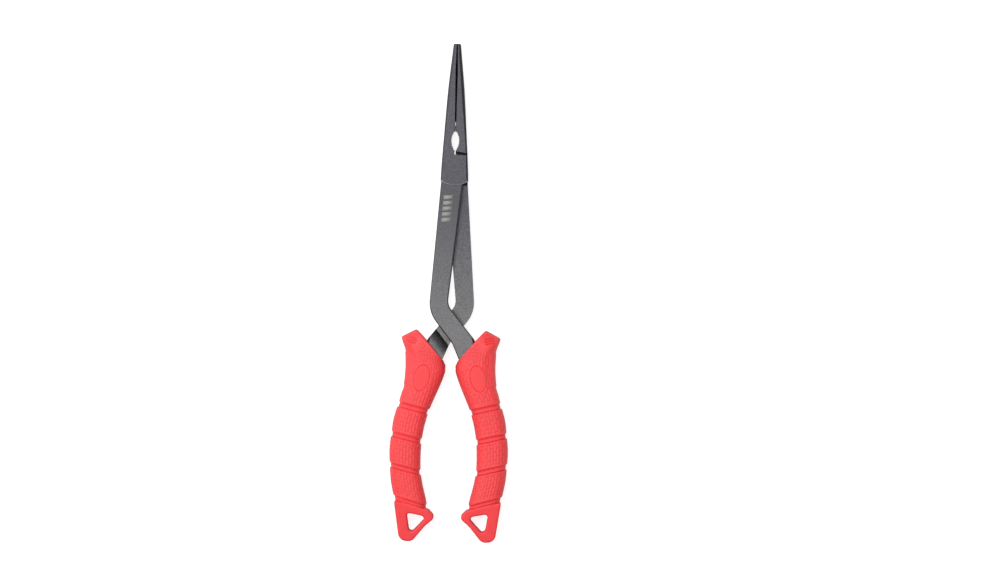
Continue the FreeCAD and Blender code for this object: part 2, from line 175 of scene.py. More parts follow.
# Where the steel's finish changes, and where its painted shade and painted highlight lie.
BOSS_END, BOSS_BLEND = PIVOT.y - 8.6 * MM, 0.4 * MM
ARM_TONE_FROM, ARM_TONE_TO = PIVOT.y - 20 * MM, PIVOT.y - 95 * MM
LAP_PAINTED_SHADE = (0.3 * MM, 0.8 * MM)           # height off the lap where the painted shade ends
PAINTED_SHADE_TONE = 0.12                         # share of the steel's own tone that the painted shade lets through
VALLEY_HALF_WIDTH = 0.85 * MM
# the painted highlight on the boss's rim: how far it runs past the end of the boss, and the height off the
# lap above which it lies
HIGHLIGHT_LENGTH, HIGHLIGHT_HEIGHT = 2.7 * MM, 5.0 * MM

# Stage.
FLOOR_REACH, FLOOR_DROP = 3.0, 0.05 * MM
SENSOR_WIDTH = 36.0
LIGHTS = {
    "top_light": ("top_power", 0.8, (-0.25, 0.2, 1.1)),
    "left_light": ("left_power", 0.6, (-0.9, 0.3, 0.5)),
    "right_light": ("right_power", 0.6, (0.8, 0.0, 0.8)),
}


def from_pivot(point):
    """A plan point given in mm from the pivot, in metres."""
    return np.array(point) * MM + np.array(PIVOT[:2])


# ---- grip surface ----
def linear(colour_hex):
    """An sRGB hex value as linear red, green, blue and alpha."""
    parts = [int(colour_hex[i:i + 2], 16) / 255 for i in (1, 3, 5)]
    return tuple(c / 12.92 if c <= 0.04045 else ((c + 0.055) / 1.055) ** 2.4 for c in parts) + (1.0,)


def smoothstep(low, high, value):
    """0 below low, 1 above high and a smooth ramp between."""
    share = np.clip((value - low) / (high - low), 0.0, 1.0)
    return share * share * (3 - 2 * share)


def soften(s, points, reach):
    """Blends a line of points over a reach that may differ along it, with both ends held in place."""
    before, after = 2 * points[0] - points[:0:-1], 2 * points[-1] - points[-2::-1]
    spread = np.concatenate([-s[:0:-1], s, 2 * s[-1] - s[-2::-1]])
    weights = np.exp(-0.5 * ((s[:, None] - spread[None, :]) / reach[:, None]) ** 2)
    return weights @ np.concatenate([before, points, after]) / weights.sum(axis=1, keepdims=True)


class Grip:
    """The smooth outer surface of one handle's grip: s runs down its middle line, in metres."""

    def __init__(self, step):
        lines = from_pivot(GRIP_LINES)
        middle = lines.mean(axis=1)
        self.marks = np.concatenate([[0], np.cumsum(np.linalg.norm(np.diff(middle, axis=0), axis=1))])
        self.s = np.linspace(0, self.marks[-1], LENGTH_SAMPLES)
        blend = smoothstep(self.marks[EAR_END], self.marks[BODY_START], self.s)
        reach = EAR_SOFTNESS + (BODY_SOFTNESS - EAR_SOFTNESS) * blend
        self.edges = []
        for side in (0, 1):
            line = np.stack([np.interp(self.s, self.marks, lines[:, side, axis]) for axis in (0, 1)], axis=1)
            self.edges.append(soften(self.s, line, reach))
        self.section = self.unit_section(step)

    def unit_section(self, step):
        """Even points round a superellipse, as shares of the half width and half thickness."""
        turn = np.linspace(0, 2 * math.pi, SECTION_SAMPLES)
        across = np.sign(np.cos(turn)) * np.abs(np.cos(turn)) ** (2 / SECTION_POWER)
        up = np.sign(np.sin(turn)) * np.abs(np.sin(turn)) ** (2 / SECTION_POWER)
        steps = np.hypot(np.diff(across) * SECTION_HALF_WIDTH, np.diff(up) * GRIP_HALF_THICK)
        run = np.concatenate([[0], np.cumsum(steps)])
        count = 4 * round(run[-1] / step / 4)
        even = np.linspace(0, run[-1], count, endpoint=False)
        return np.interp(even, run, across), np.interp(even, run, up)

    def edge_points(self, s):
        """The inner and outer edge of the grip, in plan, at some lengths."""
        return [np.column_stack([np.interp(s, self.s, edge[:, axis]) for axis in (0, 1)])
                for edge in self.edges]

    def rings(self, s):
        """The undisplaced surface: one ring of points for each length."""
        inner, outer = self.edge_points(s)
        across, up = self.section
        middle, half = (inner + outer) / 2, (outer - inner) / 2
        plan = middle[:, None, :] + half[:, None, :] * across[None, :, None]
        height = np.broadcast_to(PIVOT.z + GRIP_HALF_THICK * up[None, :, None], plan.shape[:2] + (1,))
        return np.concatenate([plan, height], axis=2)

    def normals(self, s):
        """Outward unit normals for the same points as rings."""
        low, high = np.clip(s - NORMAL_REACH, 0, self.s[-1]), np.clip(s + NORMAL_REACH, 0, self.s[-1])
        along = self.rings(high) - self.rings(low)
        rings = self.rings(s)
        around = np.roll(rings, -1, axis=1) - np.roll(rings, 1, axis=1)
        normal = np.cross(around, along)
        normal /= np.linalg.norm(normal, axis=2, keepdims=True)
        outward = rings - rings.mean(axis=1, keepdims=True)
        return normal * np.sign((normal * outward).sum(axis=2).mean())

    def across_lengths(self, s):
        """For each point, its distance along the surface from the middle of the front or back face."""
        rings = self.rings(s)
        count = rings.shape[1]
        steps = np.linalg.norm(np.roll(rings, -1, axis=1) - rings, axis=2)
        run = np.concatenate([np.zeros((len(s), 1)), np.cumsum(steps, axis=1)[:, :-1]], axis=1)
        front, back = run[:, count // 4, None], run[:, 3 * count // 4, None]
        from_front, from_back = run - front, back - run
        return np.where(np.arange(count)[None, :] <= count // 2, from_front, from_back)

    def height_over(self, plan):
        """How far the grip's face stands from its middle plane over some plan points."""
        inner, outer = self.edge_points(self.s)
        line = outer - inner
        heights = []
        for point in plan:
            gap = line[:, 0] * (point[1] - inner[:, 1]) - line[:, 1] * (point[0] - inner[:, 0])
            i = int(np.argmin(np.abs(gap)))
            share = np.dot(point - inner[i], line[i]) / np.dot(line[i], line[i]) * 2 - 1
            heights.append(GRIP_HALF_THICK * max(0.0, 1 - abs(share) ** SECTION_POWER) ** (1 / SECTION_POWER))
        return np.array(heights)


def pad_rows(start, end, first_rim, last_rim, step):
    """Lengths of a pad's rows, and how far its rims take each row in. A rim is its length along the
    grip and its drop; each one is a quarter of an ellipse."""
    turn = np.linspace(0, math.pi / 2, RIM_ROWS, endpoint=False)
    first_s, first_d = first_rim[0] * (1 - np.cos(turn)), -first_rim[1] * (1 - np.sin(turn))
    last_s, last_d = last_rim[0] * (1 - np.cos(turn)), -last_rim[1] * (1 - np.sin(turn))
    low, high = start + first_rim[0], end - last_rim[0]
    flat = np.linspace(low, high, max(2, round((high - low) / step)) + 1)
    s = np.concatenate([start + first_s, flat, end - last_s[::-1]])
    return s, np.concatenate([first_d, np.zeros(len(flat)), last_d[::-1]])


# ---- surface details, as depths in metres for rows of points ----
def cell_depths(across, along, width, length):
    """1 in the grooves between staggered, round-cornered cells and 0 on the cells."""
    column = np.round(across / width)
    shift = np.where(column % 2 == 0, 0.0, length / 2)
    x = np.abs(across - column * width)
    y = np.abs(along + shift - np.round((along + shift) / length) * length)
    over_x = x - (width / 2 - CELL_GAP / 2 - CELL_CORNER)
    over_y = y - (length / 2 - CELL_GAP / 2 - CELL_CORNER)
    past_corner = np.hypot(np.maximum(over_x, 0), np.maximum(over_y, 0))
    outside = past_corner + np.minimum(np.maximum(over_x, over_y), 0)
    return smoothstep(*CELL_WALL, outside - CELL_CORNER)


def in_axes(points, centre, tilt):
    """Plan points as seen from a centre, along and across axes turned by a tilt."""
    x, y = points[..., 0] - centre[0], points[..., 1] - centre[1]
    return x * math.cos(tilt) + y * math.sin(tilt), -x * math.sin(tilt) + y * math.cos(tilt)


def oval_distance(points):
    """Roughly how far plan points lie outside the oval panel, in metres."""
    x, y = in_axes(points, from_pivot(OVAL_CENTRE), OVAL_TILT)
    half_width, half_length = (size * MM for size in OVAL_HALF_SIZE)
    share = np.hypot(x / half_width, y / half_length)
    reach = np.hypot(x, y) / np.maximum(share, 1e-6)
    return (share - 1) * reach


def bar_depths(points):
    """1 on the three short plain bars pressed into the flared ear, 0 elsewhere."""
    along, up = in_axes(points, from_pivot(EAR_BARS_CENTRE), EAR_BARS_TILT)
    depth = np.zeros_like(along)
    for i, half_length in enumerate(EAR_BAR_HALF_LENGTHS):
        off = np.abs(up - (i - 1) * EAR_BAR_PITCH)
        over = np.maximum(np.abs(along) - half_length * MM, 0)
        depth = np.maximum(depth, 1 - smoothstep(*EAR_BAR_WALL, np.hypot(off, over)))
    return depth


# ---- meshes ----
def shell(name, rings, closed=False, cap_start=False, cap_end=False, hollows=None):
    """A mesh object of quads between rings of points, closed end to end or capped with a fan. Hollows
    hold how deep in a groove each point lies, from 0 to 1, for the material to shade."""
    rows, count = rings.shape[:2]
    points = rings.reshape(-1, 3)
    index = np.arange(rows * count).reshape(rows, count)
    pairs = [(index[i], index[i + 1]) for i in range(rows - 1)]
    if closed:
        pairs.append((index[-1], index[0]))
    quads = [np.stack([a, b, np.roll(b, -1), np.roll(a, -1)], axis=1) for a, b in pairs]
    faces = np.concatenate(quads)
    triangles = []
    for wanted, ring, flip in ((cap_start, index[0], False), (cap_end, index[-1], True)):
        if wanted:
            points = np.concatenate([points, points[ring].mean(axis=0, keepdims=True)])
            centre = np.full(count, len(points) - 1)
            fan = np.stack([ring, np.roll(ring, -1), centre], axis=1)
            triangles.append(fan[:, ::-1] if flip else fan)
    corners = [points[faces[:, i]] for i in range(4)]
    volume = np.einsum("ij,ij->i", corners[0], np.cross(corners[1], corners[2])).sum()
    volume += np.einsum("ij,ij->i", corners[0], np.cross(corners[2], corners[3])).sum()
    if volume < 0:
        faces = faces[:, ::-1]
        triangles = [fan[:, ::-1] for fan in triangles]
    mesh = bpy.data.meshes.new(name)
    loops = np.concatenate([faces.ravel()] + [fan.ravel() for fan in triangles])
    sizes = np.concatenate([np.full(len(faces), 4)] + [np.full(len(fan), 3) for fan in triangles])
    mesh.vertices.add(len(points))
    mesh.vertices.foreach_set("co", points.ravel())
    mesh.loops.add(len(loops))
    mesh.loops.foreach_set("vertex_index", loops)
    mesh.polygons.add(len(sizes))
    mesh.polygons.foreach_set("loop_start", np.concatenate([[0], np.cumsum(sizes)[:-1]]))
    mesh.polygons.foreach_set("use_smooth", np.ones(len(sizes), bool))
    mesh.update(calc_edges=True)
    if hollows is not None:
        shade = mesh.attributes.new("hollow", "FLOAT", "POINT")
        shade.data.foreach_set("value", np.resize(hollows.ravel(), len(points)))
    mesh.validate()
    piece = bpy.data.objects.new(name, mesh)
    bpy.context.scene.collection.objects.link(piece)
    return piece


def turned(rings, side):
    """The points as they are for the front handle, or turned over for the rear one."""
    if side == "front":
        return rings
    flipped = rings.copy()
    flipped[..., 0] = 2 * PIVOT.x - rings[..., 0]
    flipped[..., 2] = 2 * PIVOT.z - rings[..., 2]
    return flipped


def joined(name, pieces):
    """Several mesh objects as one."""
    whole = bmesh.new()
    for piece in pieces:
        whole.from_mesh(piece.data)
    mesh = bpy.data.meshes.new(name)
    whole.to_mesh(mesh)
    whole.free()
    for piece in pieces:
        bpy.data.objects.remove(piece)
    made = bpy.data.objects.new(name, mesh)
    bpy.context.scene.collection.objects.link(made)
    return made


def finish_piece(piece, body, slot, material, *nodes):
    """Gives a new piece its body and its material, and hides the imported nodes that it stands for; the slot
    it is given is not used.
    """
    piece.data.materials.clear()
    piece.data.materials.append(material)
    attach(piece, body)
    if nodes:
        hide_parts(*nodes)


# ---- materials ----
def add(tree, kind, inputs=None, **settings):
    """Adds one node with its own settings; each input is a value or a socket to link from."""
    made = tree.nodes.new(kind)
    for name, value in settings.items():
        setattr(made, name, value)
    for name, value in (inputs or {}).items():
        if isinstance(value, bpy.types.NodeSocket):
            tree.links.new(value, made.inputs[name])
        else:
            made.inputs[name].default_value = value
    return made


def new_material(name):
    """A material with an empty tree but for its output, its shader and the object's own coordinates."""
    material = bpy.data.materials.new(name)
    material.use_nodes = True
    tree = material.node_tree
    tree.nodes.clear()
    shader = add(tree, "ShaderNodeBsdfPrincipled")
    add(tree, "ShaderNodeOutputMaterial", {"Surface": shader.outputs["BSDF"]})
    place = add(tree, "ShaderNodeTexCoord").outputs["Object"]
    return material, tree, shader, place


def per_metre(size_mm):
    """A pattern scale whose features are about this many millimetres."""
    return 1.0 / (size_mm * MM)


def shaded_sides(tree, colour, darkest, steep_at=0.1, flat_at=0.7):
    """The same colour, painted deeper on faces that stand upright as the tool lies on its side, which
    soft light hardly shades. Steep and flat are how much of a face's direction points up or down."""
    normal = add(tree, "ShaderNodeNewGeometry").outputs["Normal"]
    facing = add(tree, "ShaderNodeSeparateXYZ", {"Vector": normal})
    steep = add(tree, "ShaderNodeMath", {0: facing.outputs["Z"]}, operation="ABSOLUTE")
    tone = add(tree, "ShaderNodeMapRange", {
        "Value": steep.outputs["Value"], "From Min": steep_at, "From Max": flat_at, "To Min": darkest})
    return add(tree, "ShaderNodeVectorMath", {0: colour, "Scale": tone.outputs["Result"]},
               operation="SCALE").outputs["Vector"]


def mottled(tree, place, size_mm, detail, colour, low, high):
    """A colour that wanders between two shares of itself, in clouds of about one size."""
    base = np.array(colour)
    noise = add(tree, "ShaderNodeTexNoise", {"Vector": place, "Scale": per_metre(size_mm), "Detail": detail})
    return add(tree, "ShaderNodeMix", {
        "Factor": noise.outputs["Fac"],
        "A": (*(base * low), 1.0),
        "B": (*np.minimum(base * high, 1.0), 1.0),
    }, data_type="RGBA").outputs["Result"]


def dress(tree, shader, colour, gloss, roughness, relief, relief_height, relief_strength):
    """Gives a shader its colour, a roughness that wanders with one noise and a relief from another."""
    rough = add(tree, "ShaderNodeMapRange", {
        "Value": gloss.outputs["Fac"], "To Min": roughness[0], "To Max": roughness[1]})
    bump = add(tree, "ShaderNodeBump", {
        "Height": relief.outputs["Fac"], "Distance": relief_height, "Strength": relief_strength})
    tree.links.new(colour, shader.inputs["Base Color"])
    tree.links.new(rough.outputs["Result"], shader.inputs["Roughness"])
    tree.links.new(bump.outputs["Normal"], shader.inputs["Normal"])


def moulded_rubber(settings):
    """Soft thermoplastic rubber moulded in a spark-eroded tool: an even satin red, a little cloudy. The
    hollows of its pattern are painted deeper, as they would shade themselves."""
    material, tree, shader, place = new_material("moulded_thermoplastic_rubber")
    hollow = add(tree, "ShaderNodeAttribute", attribute_name="hollow")
    deep = add(tree, "ShaderNodeMix", {
        "Factor": hollow.outputs["Fac"],
        "A": mottled(tree, place, 3.0, 3.0, settings.rubber_colour, 0.90, 1.10),
        "B": (0.91, 0.76, 0.76, 1.0),
    }, data_type="RGBA", blend_type="MULTIPLY", clamp_factor=False)
    sides = shaded_sides(tree, deep.outputs["Result"], darkest=0.62)
    # the eroded grain is finer; it is drawn at 0.35 mm so that it softens the highlights
    grain = add(tree, "ShaderNodeTexNoise", {"Vector": place, "Scale": per_metre(0.35), "Detail": 2.0})
    dress(tree, shader, sides, grain, (0.5, 0.62), grain, 0.03 * MM, 0.5)
    shader.inputs["IOR"].default_value = 1.5
    return material


def moulded_nylon(settings):
    """Hard nylon moulded in a polished tool: a smoother, slightly deeper red with a soft gloss."""
    material, tree, shader, place = new_material("moulded_nylon")
    colour = mottled(tree, place, 4.0, 2.0, settings.nylon_colour, 0.92, 1.08)
    sides = shaded_sides(tree, colour, darkest=0.6)
    # slow ripples from the mould, about 1.6 mm apart
    ripple = add(tree, "ShaderNodeTexNoise", {"Vector": place, "Scale": per_metre(1.6), "Detail": 1.0})
    dress(tree, shader, sides, ripple, (0.58, 0.68), ripple, 0.02 * MM, 0.4)
    shader.inputs["IOR"].default_value = 1.53
    return material


def blasted_steel(settings):
    """Bead-blasted steel under a thin dark coating: speckled grey arms and a finer and darker head and jaws.
    Painted shade darkens its upright flanks, the slot under the boss and the valley between the jaws."""
    material, tree, shader, place = new_material("bead_blasted_coated_steel")
    spot = add(tree, "ShaderNodeSeparateXYZ", {"Vector": place})

    # the arms change tone on their way to the grips, and the head is a tone of its own
    near_grip = add(tree, "ShaderNodeMapRange", {
        "Value": spot.outputs["Y"], "From Min": ARM_TONE_FROM, "From Max": ARM_TONE_TO})
    arms = add(tree, "ShaderNodeMix", {
        "Factor": near_grip.outputs["Result"],
        "A": (*settings.arm_colour, 1.0),
        "B": (*settings.crossing_colour, 1.0),
    }, data_type="RGBA")
    head = add(tree, "ShaderNodeMapRange", {
        "Value": spot.outputs["Y"], "From Min": BOSS_END - BOSS_BLEND, "From Max": BOSS_END + BOSS_BLEND,
    }, interpolation_type="SMOOTHSTEP")
    shade = add(tree, "ShaderNodeMix", {
        "Factor": head.outputs["Result"],
        "A": arms.outputs["Result"],
        "B": (*settings.head_colour, 1.0),
    }, data_type="RGBA")

    # the real grit is finer; it is drawn at 0.8 mm so that its speckle shows
    speck = add(tree, "ShaderNodeTexNoise", {"Vector": place, "Scale": per_metre(0.8), "Detail": 4.0})
    fleck = add(tree, "ShaderNodeMapRange", {
        "Value": speck.outputs["Fac"], "From Min": 0.3, "From Max": 0.7, "To Min": 0.64, "To Max": 1.36})
    speckled = add(tree, "ShaderNodeVectorMath", {0: shade.outputs["Result"], "Scale": fleck.outputs[0]},
                   operation="SCALE")

    # painted shade: the lapped faces deep in the slot under the boss are painted dark
    height = add(tree, "ShaderNodeMath", {0: spot.outputs["Z"], 1: PIVOT.z}, operation="SUBTRACT")
    off_lap = add(tree, "ShaderNodeMath", {0: height.outputs[0]}, operation="ABSOLUTE")
    lap_unshaded = add(tree, "ShaderNodeMapRange", {
        "Value": off_lap.outputs[0], "From Min": LAP_PAINTED_SHADE[0], "From Max": LAP_PAINTED_SHADE[1]})

    # painted shade also darkens the sloping walls of the valley between the gripping faces
    normal = add(tree, "ShaderNodeNewGeometry").outputs["Normal"]
    facing = add(tree, "ShaderNodeSeparateXYZ", {"Vector": normal})
    upright = add(tree, "ShaderNodeMath", {0: facing.outputs["Z"]}, operation="ABSOLUTE")
    off_line = add(tree, "ShaderNodeMath", {0: spot.outputs["X"]}, operation="ABSOLUTE")
    on_land = add(tree, "ShaderNodeMath", {0: off_line.outputs[0], 1: VALLEY_HALF_WIDTH},
                  operation="GREATER_THAN")
    level = add(tree, "ShaderNodeMath", {0: upright.outputs[0], 1: 0.9}, operation="GREATER_THAN")
    off_valley = add(tree, "ShaderNodeMath", {0: on_land.outputs[0], 1: level.outputs[0]},
                     operation="MAXIMUM")
    unshaded = add(tree, "ShaderNodeMath", {0: lap_unshaded.outputs[0], 1: off_valley.outputs[0]},
                operation="MINIMUM")
    off_head = add(tree, "ShaderNodeMath", {0: 1.0, 1: head.outputs[0]}, operation="SUBTRACT")
    unshaded_or_off_head = add(tree, "ShaderNodeMath", {0: unshaded.outputs[0], 1: off_head.outputs[0]}, operation="MAXIMUM")
    kept = add(tree, "ShaderNodeMath", {0: unshaded_or_off_head.outputs[0], 1: PAINTED_SHADE_TONE}, operation="MAXIMUM")
    with_painted_shade = add(tree, "ShaderNodeVectorMath", {0: speckled.outputs["Vector"], "Scale": kept.outputs[0]},
                  operation="SCALE")
    sides = shaded_sides(tree, with_painted_shade.outputs["Vector"], darkest=0.65, steep_at=0.2, flat_at=0.7)

    # a painted highlight brightens the rim at the end of the boss, where its edge catches the light
    rim = add(tree, "ShaderNodeMapRange", {"Value": upright.outputs[0], "From Min": 0.35, "From Max": 0.6})
    edge = add(tree, "ShaderNodeMath", {0: upright.outputs[0], 1: 0.985}, operation="LESS_THAN")
    low = add(tree, "ShaderNodeMath", {0: spot.outputs["Y"], 1: BOSS_END + HIGHLIGHT_LENGTH},
              operation="LESS_THAN")
    high = add(tree, "ShaderNodeMath", {0: off_lap.outputs[0], 1: HIGHLIGHT_HEIGHT}, operation="GREATER_THAN")
    rim_highlight = rim.outputs["Result"]
    for mask in (edge, low, high, head):
        product = add(tree, "ShaderNodeMath", {0: rim_highlight, 1: mask.outputs[0]}, operation="MULTIPLY")
        rim_highlight = product.outputs["Value"]
    highlighted = add(tree, "ShaderNodeMix", {"Factor": rim_highlight, "A": sides, "B": (*settings.highlight_colour, 1.0)},
                 data_type="RGBA")

    # the relief is drawn at half the speckle's size, still coarser than real grit
    grit = add(tree, "ShaderNodeTexNoise", {"Vector": place, "Scale": per_metre(0.4), "Detail": 2.0})
    dress(tree, shader, highlighted.outputs["Result"], speck, (0.36, 0.52), grit, 0.04 * MM, 0.5)
    shader.inputs["Metallic"].default_value = 0.85
    return material


def etched_steel(settings):
    """Laser-etched steel: the coating burnt off to a pale, dry frost."""
    material, tree, shader, place = new_material("laser_etched_steel")
    colour = mottled(tree, place, 0.3, 3.0, settings.etch_colour, 0.85, 1.1)
    tree.links.new(colour, shader.inputs["Base Color"])
    shader.inputs["Metallic"].default_value = 0.4
    shader.inputs["Roughness"].default_value = 0.7
    return material


def painted_floor(settings):
    """Matt white board, lit a little from behind: pale and plain, with the faint mottle of rolled paint.
    Its own glow keeps it near white, so the shadows on it are weak."""
    material, tree, shader, place = new_material("rolled_white_paint")
    colour = mottled(tree, place, 60.0, 2.0, settings.floor_colour, 0.995, 1.0)
    tree.links.new(colour, shader.inputs["Base Color"])
    shader.inputs["Roughness"].default_value = 0.9
    shader.inputs["Emission Color"].default_value = (1.0, 1.0, 1.0, 1.0)
    shader.inputs["Emission Strength"].default_value = settings.floor_glow
    return material


def shared(name, maker, settings):
    """A material by name, made the first time it is asked for."""
    return bpy.data.materials.get(name) or maker(settings)


# ---- settings ----
class GripSettings(bpy.types.PropertyGroup):
    """Sizes and colours of the moulded grips."""

    mesh_step: FloatProperty(name="Mesh step", description="Spacing of the surface points",
                             default=0.27 * MM, min=0.1 * MM, unit="LENGTH")
    front_rim: FloatProperty(name="Front rim", description="Roll at the front end of each soft pad",
                             default=0.4 * MM, unit="LENGTH")
    rear_rim: FloatProperty(name="Rear rim", description="Length of the roll at the rear end of each pad",
                            default=1.4 * MM, unit="LENGTH")
    rear_drop: FloatProperty(name="Rear drop", description="Drop of the roll at the rear end of each pad",
                             default=0.9 * MM, unit="LENGTH")
    pad_thickness: FloatProperty(name="Pad thickness", description="Thickness of the soft layer",
                                 default=2.2 * MM, unit="LENGTH")
    collar_depth: FloatProperty(name="Collar depth", description="Depth of the grooves round the sides",
                                default=0.75 * MM, unit="LENGTH")
    line_depth: FloatProperty(name="Line depth", description="Extra depth beside the ribs on both faces",
                              default=0.35 * MM, unit="LENGTH")
    rib_height: FloatProperty(name="Rib height", description="Height of the rib in each groove",
                              default=0.4 * MM, unit="LENGTH")
    cell_width: FloatProperty(name="Cell width", description="Pitch of the raised cells across the grip",
                              default=1.87 * MM, unit="LENGTH")
    cell_length: FloatProperty(name="Cell length", description="Pitch of the raised cells along the grip",
                               default=4.7 * MM, unit="LENGTH")
    cell_height: FloatProperty(name="Cell height", description="How far the cells stand up",
                               default=0.15 * MM, unit="LENGTH")
    rubber_colour: FloatVectorProperty(name="Rubber colour", description="Colour of the soft pads",
                                       default=linear("#F33F43")[:3], size=3, subtype="COLOR", min=0, max=1)
    nylon_colour: FloatVectorProperty(name="Nylon colour", description="Colour of the hard core",
                                      default=linear("#F33A3F")[:3], size=3, subtype="COLOR", min=0, max=1)


class SteelSettings(bpy.types.PropertyGroup):
    """Colours of the coated steel."""

    arm_colour: FloatVectorProperty(name="Arm colour", description="Colour of the blasted arms",
                                    default=linear("#403F43")[:3], size=3, subtype="COLOR", min=0, max=1)
    crossing_colour: FloatVectorProperty(name="Crossing colour", description="Colour of arms near the grips",
                                         default=linear("#5A595A")[:3], size=3, subtype="COLOR", min=0, max=1)
    head_colour: FloatVectorProperty(name="Head colour", description="Colour of the head and jaws",
                                     default=linear("#3F3E43")[:3], size=3, subtype="COLOR", min=0, max=1)
    # the colour of the painted highlight on the rim at the end of the boss
    highlight_colour: FloatVectorProperty(name="Worn colour", description="Colour of the rubbed rim of the boss",
                                     default=linear("#A9A9A9")[:3], size=3, subtype="COLOR", min=0, max=1)
    etch_colour: FloatVectorProperty(name="Etch colour", description="Colour of the etched bars",
                                     default=linear("#9C9C98")[:3], size=3, subtype="COLOR", min=0, max=1)


class StageSettings(bpy.types.PropertyGroup):
    """Camera, lights and floor."""

    camera_height: FloatProperty(name="Camera height", description="Height above the pliers' middle plane",
                                 default=2.0, unit="LENGTH")
    view_width: FloatProperty(name="View width", description="Width seen at the pliers' middle plane",
                              default=0.5867, unit="LENGTH")
    aim_x: FloatProperty(name="Aim X", description="Where the camera points, across the tool",
                         default=0.0281, unit="LENGTH")
    aim_y: FloatProperty(name="Aim Y", description="Where the camera points, along the tool",
                         default=0.0011, unit="LENGTH")
    roll: FloatProperty(name="Roll", description="Turn of the camera about its own axis",
                        default=math.radians(1.227), unit="ROTATION")
    top_power: FloatProperty(name="Top light", description="Power of the large light overhead",
                             default=11.2, min=0, unit="POWER")
    left_power: FloatProperty(name="Left light", description="Power of the low light on the left",
                              default=3.8, min=0, unit="POWER")
    right_power: FloatProperty(name="Right light", description="Power of the light on the right",
                               default=1.2, min=0, unit="POWER")
    sky_strength: FloatProperty(name="Sky strength", description="Brightness of the even surround",
                                default=0.18, min=0)
    floor_glow: FloatProperty(name="Floor glow", description="Brightness of the light behind the floor",
                              default=0.82, min=0)
    floor_colour: FloatVectorProperty(name="Floor colour", description="Colour of the plain floor",
                                      default=linear("#A8A8A8")[:3], size=3, subtype="COLOR", min=0, max=1)


# ---- pieces ----
class PLIERS_OT_coat_steel(bpy.types.Operator):
    """Gives both forged halves and the rivet their blasted and coated finish"""

    bl_idname = "pliers.coat_steel"
    bl_label = "Coat the Steel"

    def execute(self, context):
        material = shared("bead_blasted_coated_steel", blasted_steel, context.scene.pliers_steel)
        for name in ("front_half", "rear_half", "pivot_rivet"):
            mesh = frame["nodes"][name].data
            mesh.materials.clear()
            mesh.materials.append(material)
        return {"FINISHED"}


class PLIERS_OT_etch_mark(bpy.types.Operator):
    """Lays a plain hatch of etched bars on the front arm"""

    bl_idname = "pliers.etch_mark"
    bl_label = "Etch the Mark"

    def execute(self, context):
        origin = Vector((*from_pivot(ETCH_START), PIVOT.z + ARM_FACE))
        slant, length = ARM_RUN * ETCH_SLANT, ARM_RUN * ETCH_LENGTH
        width = Vector((-ARM_RUN.y, ARM_RUN.x, 0.0)) * ETCH_WIDTH
        bars = []
        for i in range(ETCH_COUNT):
            start = origin + ARM_RUN * (ETCH_PITCH * i)
            corners = [start, start + length, start + length + slant + width, start + slant + width]
            rings = np.array([[list(c + Vector((0, 0, h))) for c in corners] for h in ETCH_HEIGHTS])
            bars.append(shell(f"bar_{i}", rings, cap_start=True, cap_end=True))
        mark = joined("front_etched_bars", bars)
        material = shared("laser_etched_steel", etched_steel, context.scene.pliers_steel)
        finish_piece(mark, "front", "coated_steel", material)
        return {"FINISHED"}


class PLIERS_OT_mould_collars(bpy.types.Operator):
    """Moulds the hard collars that show in the four grooves of each grip, each with its rib"""

    bl_idname = "pliers.mould_collars"
    bl_label = "Mould the Collars"

    def execute(self, context):
        settings = context.scene.pliers_grip
        material = shared("moulded_nylon", moulded_nylon, settings)
        grip = Grip(settings.mesh_step)
        for side in SIDES:
            collars = []
            for i in range(COLLAR_COUNT):
                rings = self.collar_rings(grip, i, settings)
                collars.append(shell(f"collar_{i}", turned(rings, side), cap_start=True, cap_end=True))
            piece = joined(f"{side}_core_collars", collars)
            finish_piece(piece, side, "hard_nylon", material, f"{side}_handle_core")
        return {"FINISHED"}

    @staticmethod
    def collar_rings(grip, i, settings):
        """One collar: a groove right round the grip, with a rib that stands on its two faces."""
        line = len(HEAD_LINES) - 1 + LINES_PER_PAD * i
        start, end = grip.marks[line] + PAD_TRAIL, grip.marks[line + 1]
        if i < COLLAR_COUNT - 1:
            end -= PAD_LEAD     # the last one meets the eye, which has no lead
        s = np.arange(start - COLLAR_LAP, end + COLLAR_LAP, settings.mesh_step * COLLAR_STEP)
        rib_low, rib_high = start + RIB_AFTER_PAD, end - RIB_BEFORE_PAD
        off = np.abs(s - (rib_low + rib_high) / 2) - (rib_high - rib_low) / 2
        rib = 1 - smoothstep(*RIB_WALL, off)[:, None]
        # the rib sinks away round the sides
        on_face = smoothstep(*RIB_FADE, np.abs(grip.section[1]))[None, :]
        rise = settings.rib_height * rib - settings.line_depth * (1 - rib)
        depth = -settings.collar_depth + rise * on_face
        return grip.rings(s) + grip.normals(s) * depth[..., None]


